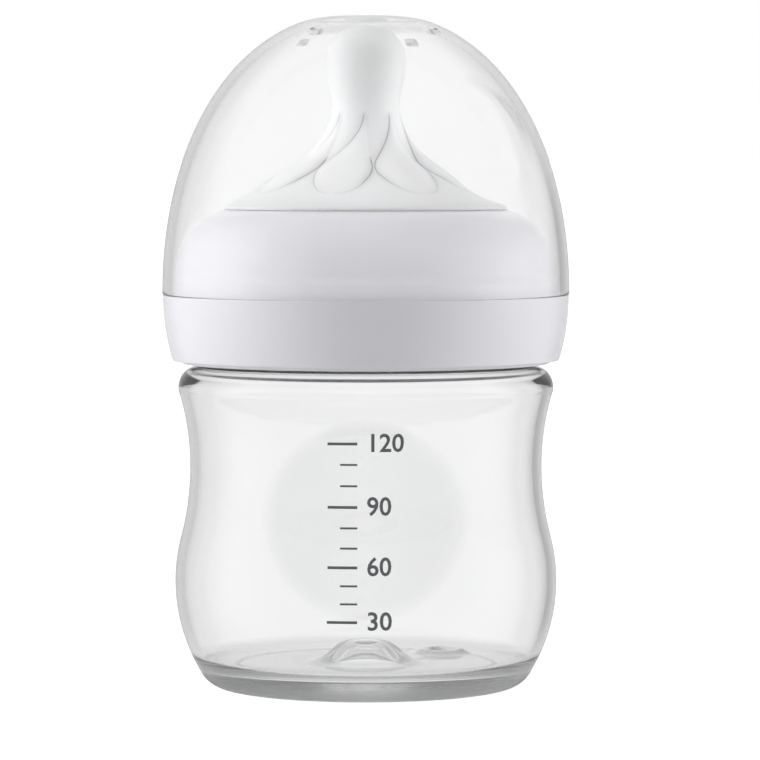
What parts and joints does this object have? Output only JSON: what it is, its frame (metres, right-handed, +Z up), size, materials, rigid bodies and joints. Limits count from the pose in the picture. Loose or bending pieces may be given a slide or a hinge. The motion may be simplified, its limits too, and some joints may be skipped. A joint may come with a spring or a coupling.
{
  "type": "baby bottle",
  "caption": "Waisted clear baby bottle with a wide threaded neck, soft flared nipple, white screw ring and clear dome cap.",
  "frame": {"origin": "centre of the foot, on the surface the bottle stands on", "axes": "+Z up along the bottle's axis, -Y towards the front with the round recess, +X to the right seen from the front"},
  "size_m": [0.072, 0.072, 0.1187],
  "materials": {
    "bottle_clear": "clear glossy plastic",
    "nipple_silicone": "translucent whitish soft silicone, satin",
    "ring_white": "glossy white moulded plastic",
    "cap_clear": "clear thin glossy plastic"
  },
  "bodies": {
    "bottle": {"bottle": "bottle_clear"},
    "nipple": {"nipple": "nipple_silicone"},
    "screw_ring": {"screw_ring": "ring_white"},
    "dome_cap": {"dome_cap": "cap_clear"}
  },
  "joints": [
    {"name": "ring_lift", "type": "slide", "parent": "bottle", "child": "nipple", "axis": [0, 0, 1], "range_m": [0, 0.0096]},
    {"name": "ring_turn", "type": "hinge", "parent": "nipple", "child": "screw_ring", "pos_m": [0, 0, 0.0636], "axis": [0, 0, 1], "range_deg": [0, 432]},
    {"name": "cap_lift", "type": "slide", "parent": "screw_ring", "child": "dome_cap", "axis": [0, 0, 1], "range_m": [0, 0.06]}
  ],
  "couplings": [
    {"joint": "ring_lift", "follows": "ring_turn", "m_per_rad": 0.0012732}
  ]
}
